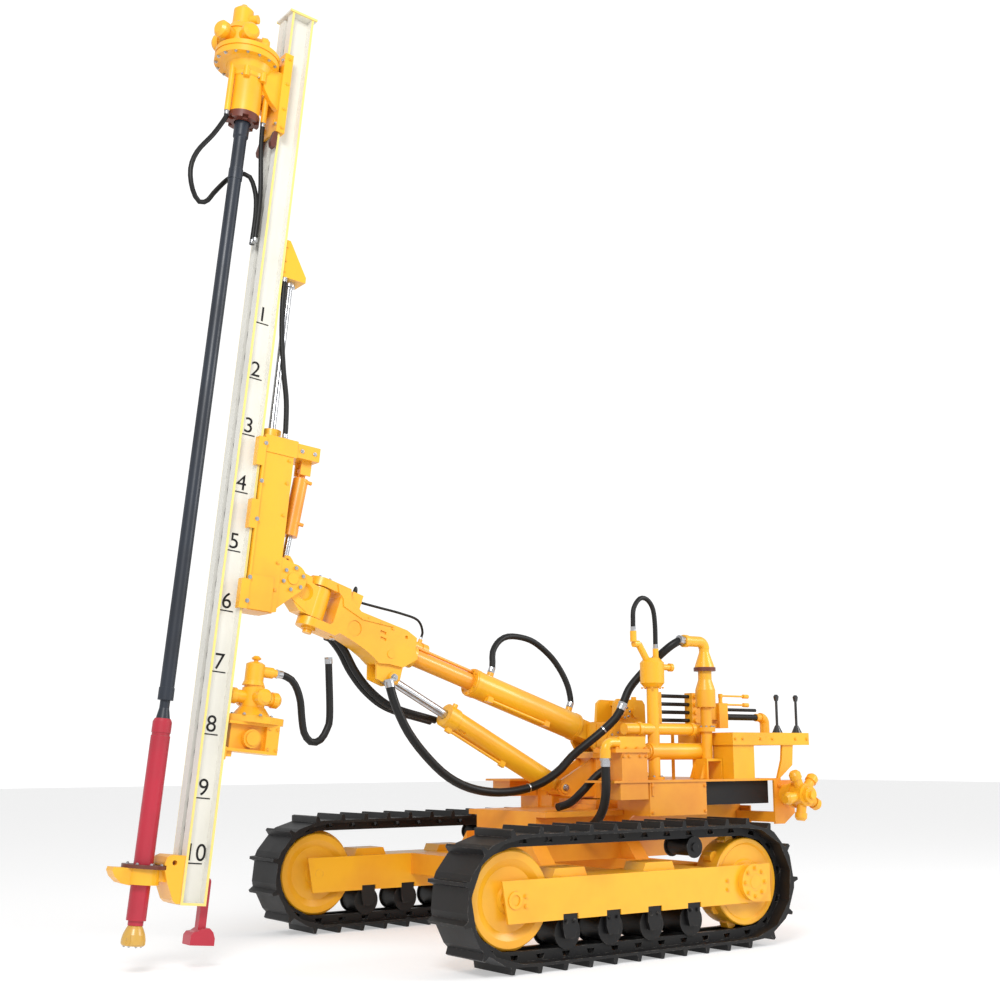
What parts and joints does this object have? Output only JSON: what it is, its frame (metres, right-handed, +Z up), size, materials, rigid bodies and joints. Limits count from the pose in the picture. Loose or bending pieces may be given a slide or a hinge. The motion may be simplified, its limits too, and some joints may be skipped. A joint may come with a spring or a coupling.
{
  "type": "crawler drilling rig",
  "caption": "Crawler drilling rig: two tracks carry a deck, a swinging telescopic boom and a leaning chain-feed mast with rotary head, drill rod, hammer and bit.",
  "frame": {"origin": "centre of the bounding box, on the ground under the tracks", "axes": "+X forward to the mast, +Y to the left side with the console, +Z up"},
  "size_m": [4.1098, 2.18, 5.0378],
  "materials": {
    "yellow_paint": "gloss chrome-yellow paint",
    "orange_paint": "older orange-yellow paint",
    "track_black": "black painted cast links and shoes, worn",
    "white_paint": "white paint",
    "bright_steel": "polished hard-chromed rod",
    "black_paint": "black paint",
    "crimson_paint": "crimson paint",
    "rod_slate": "dark slate steel",
    "bit_ochre": "ochre paint",
    "hose_rubber": "black hose cover",
    "brown_paint": "dark red-brown paint",
    "knob_black": "black moulded grip"
  },
  "bodies": {
    "chassis": {"chassis_frame": "orange_paint", "pedestal": "orange_paint", "cross_beams": "orange_paint", "deck": "orange_paint", "console": "yellow_paint", "levers": "knob_black", "air_pipes": "yellow_paint", "clamp_ring": "brown_paint", "valve_bank": "yellow_paint", "valve_hoses": "hose_rubber", "down_hose": "hose_rubber", "pipe_hose": "hose_rubber", "air_hose_rear": "hose_rubber", "oil_tank": "black_paint", "track_frame_left": "yellow_paint", "track_frame_right": "yellow_paint", "track_left": "track_black", "track_right": "track_black", "idlers": "yellow_paint", "sprockets": "yellow_paint", "rollers": "track_black", "traction_motors": "yellow_paint", "motor_brackets": "orange_paint", "boom_swing_barrel": "yellow_paint"},
    "boom_swing_rod": {"boom_swing_rod": "bright_steel"},
    "turret": {"turret": "orange_paint", "turret_fork": "yellow_paint", "air_hose": "hose_rubber"},
    "boom_outer": {"boom_outer": "yellow_paint", "loop_hose": "hose_rubber"},
    "boom_inner": {"boom_inner": "orange_paint", "boom_head": "yellow_paint", "mast_swing_barrel": "yellow_paint", "under_hose": "hose_rubber"},
    "lift_barrel": {"lift_barrel": "yellow_paint"},
    "lift_piston": {"lift_piston": "bright_steel"},
    "lift_rod": {"lift_rod": "bright_steel"},
    "knuckle": {"knuckle": "yellow_paint"},
    "mast_swing_rod": {"mast_swing_rod": "bright_steel"},
    "slide_frame": {"slide_frame": "yellow_paint", "extension_barrel": "yellow_paint"},
    "dump_barrel": {"dump_barrel": "orange_paint"},
    "dump_rod": {"dump_rod": "bright_steel"},
    "mast": {"mast": "white_paint", "extension_rod": "bright_steel", "feed_motor": "yellow_paint", "feed_chain": "track_black", "rod_bracket": "yellow_paint", "guide_arm": "yellow_paint", "guide_bush": "brown_paint", "spike": "crimson_paint", "feed_hose": "hose_rubber"},
    "carriage": {"carriage": "yellow_paint", "carriage_shoes": "brown_paint", "rotary_head": "yellow_paint", "chuck_ring": "brown_paint", "head_hoses": "hose_rubber"},
    "drill_string": {"drill_rod": "rod_slate", "hammer": "crimson_paint", "bit": "bit_ochre"}
  },
  "joints": [
    {"name": "boom_swing", "type": "hinge", "parent": "chassis", "child": "turret", "pos_m": [-0.891, 0, 0.9], "axis": [0, 0, 1], "range_deg": [-25, 25]},
    {"name": "boom_lift", "type": "hinge", "parent": "turret", "child": "boom_outer", "pos_m": [-0.951, 0, 1.077], "axis": [0, -1, 0], "range_deg": [-15, 30]},
    {"name": "boom_extend", "type": "slide", "parent": "boom_outer", "child": "boom_inner", "axis": [0.9511, 0, 0.309], "range_m": [-0.25, 0.1]},
    {"name": "mast_swing", "type": "hinge", "parent": "boom_inner", "child": "knuckle", "pos_m": [1.03195, 0, 1.7213], "axis": [-0.309, 0, 0.9511], "range_deg": [-30, 30]},
    {"name": "mast_dump", "type": "hinge", "parent": "knuckle", "child": "slide_frame", "pos_m": [1.19117, 0, 1.88607], "axis": [0, 1, 0], "range_deg": [-80, 10]},
    {"name": "feed_extend", "type": "slide", "parent": "slide_frame", "child": "mast", "axis": [0.0976, 0, -0.9952], "range_m": [-0.1, 0.6]},
    {"name": "head_travel", "type": "slide", "parent": "mast", "child": "carriage", "axis": [0.0976, 0, -0.9952], "range_m": [-0.1, 3.1]},
    {"name": "spindle_spin", "type": "hinge", "parent": "carriage", "child": "drill_string", "pos_m": [1.71786, 0, 2.30446], "axis": [-0.0976, 0, 0.9952], "continuous": true},
    {"name": "lift_barrel_tilt", "type": "hinge", "parent": "turret", "child": "lift_barrel", "pos_m": [-0.581, 0, 0.81], "axis": [0, -1, 0], "range_deg": [-16.95, 33.39]},
    {"name": "lift_piston_slide", "type": "slide", "parent": "lift_barrel", "child": "lift_piston", "axis": [0.8888, 0, 0.4582], "range_m": [-0.1147, 0.2275]},
    {"name": "lift_rod_slide", "type": "slide", "parent": "lift_piston", "child": "lift_rod", "axis": [0.8888, 0, 0.4582], "range_m": [-0.2482, 0.1005]},
    {"name": "dump_barrel_tilt", "type": "hinge", "parent": "slide_frame", "child": "dump_barrel", "pos_m": [1.10971, 0, 2.47091], "axis": [0, -1, 0], "range_deg": [-1.4, 7.7]},
    {"name": "dump_rod_slide", "type": "slide", "parent": "dump_barrel", "child": "dump_rod", "axis": [0.1918, 0, -0.9814], "range_m": [-0.014, 0.0983]},
    {"name": "mast_swing_rod_slide", "type": "slide", "parent": "boom_inner", "child": "mast_swing_rod", "axis": [0.9511, 0, 0.309], "range_m": [-0.0857, 0.0857]},
    {"name": "boom_swing_rod_slide", "type": "slide", "parent": "chassis", "child": "boom_swing_rod", "axis": [1, 0, 0], "range_m": [-0.098, 0.098]}
  ],
  "couplings": [
    {"joint": "lift_barrel_tilt", "follows": "boom_lift", "ratio": 1.0964},
    {"joint": "lift_piston_slide", "follows": "boom_lift", "m_per_rad": 0.43065},
    {"joint": "lift_rod_slide", "follows": "boom_extend", "ratio": 0.98476},
    {"joint": "dump_barrel_tilt", "follows": "mast_dump", "ratio": -0.09},
    {"joint": "dump_rod_slide", "follows": "mast_dump", "m_per_rad": -0.069},
    {"joint": "mast_swing_rod_slide", "follows": "mast_swing", "m_per_rad": 0.15982},
    {"joint": "boom_swing_rod_slide", "follows": "boom_swing", "m_per_rad": 0.22008}
  ]
}
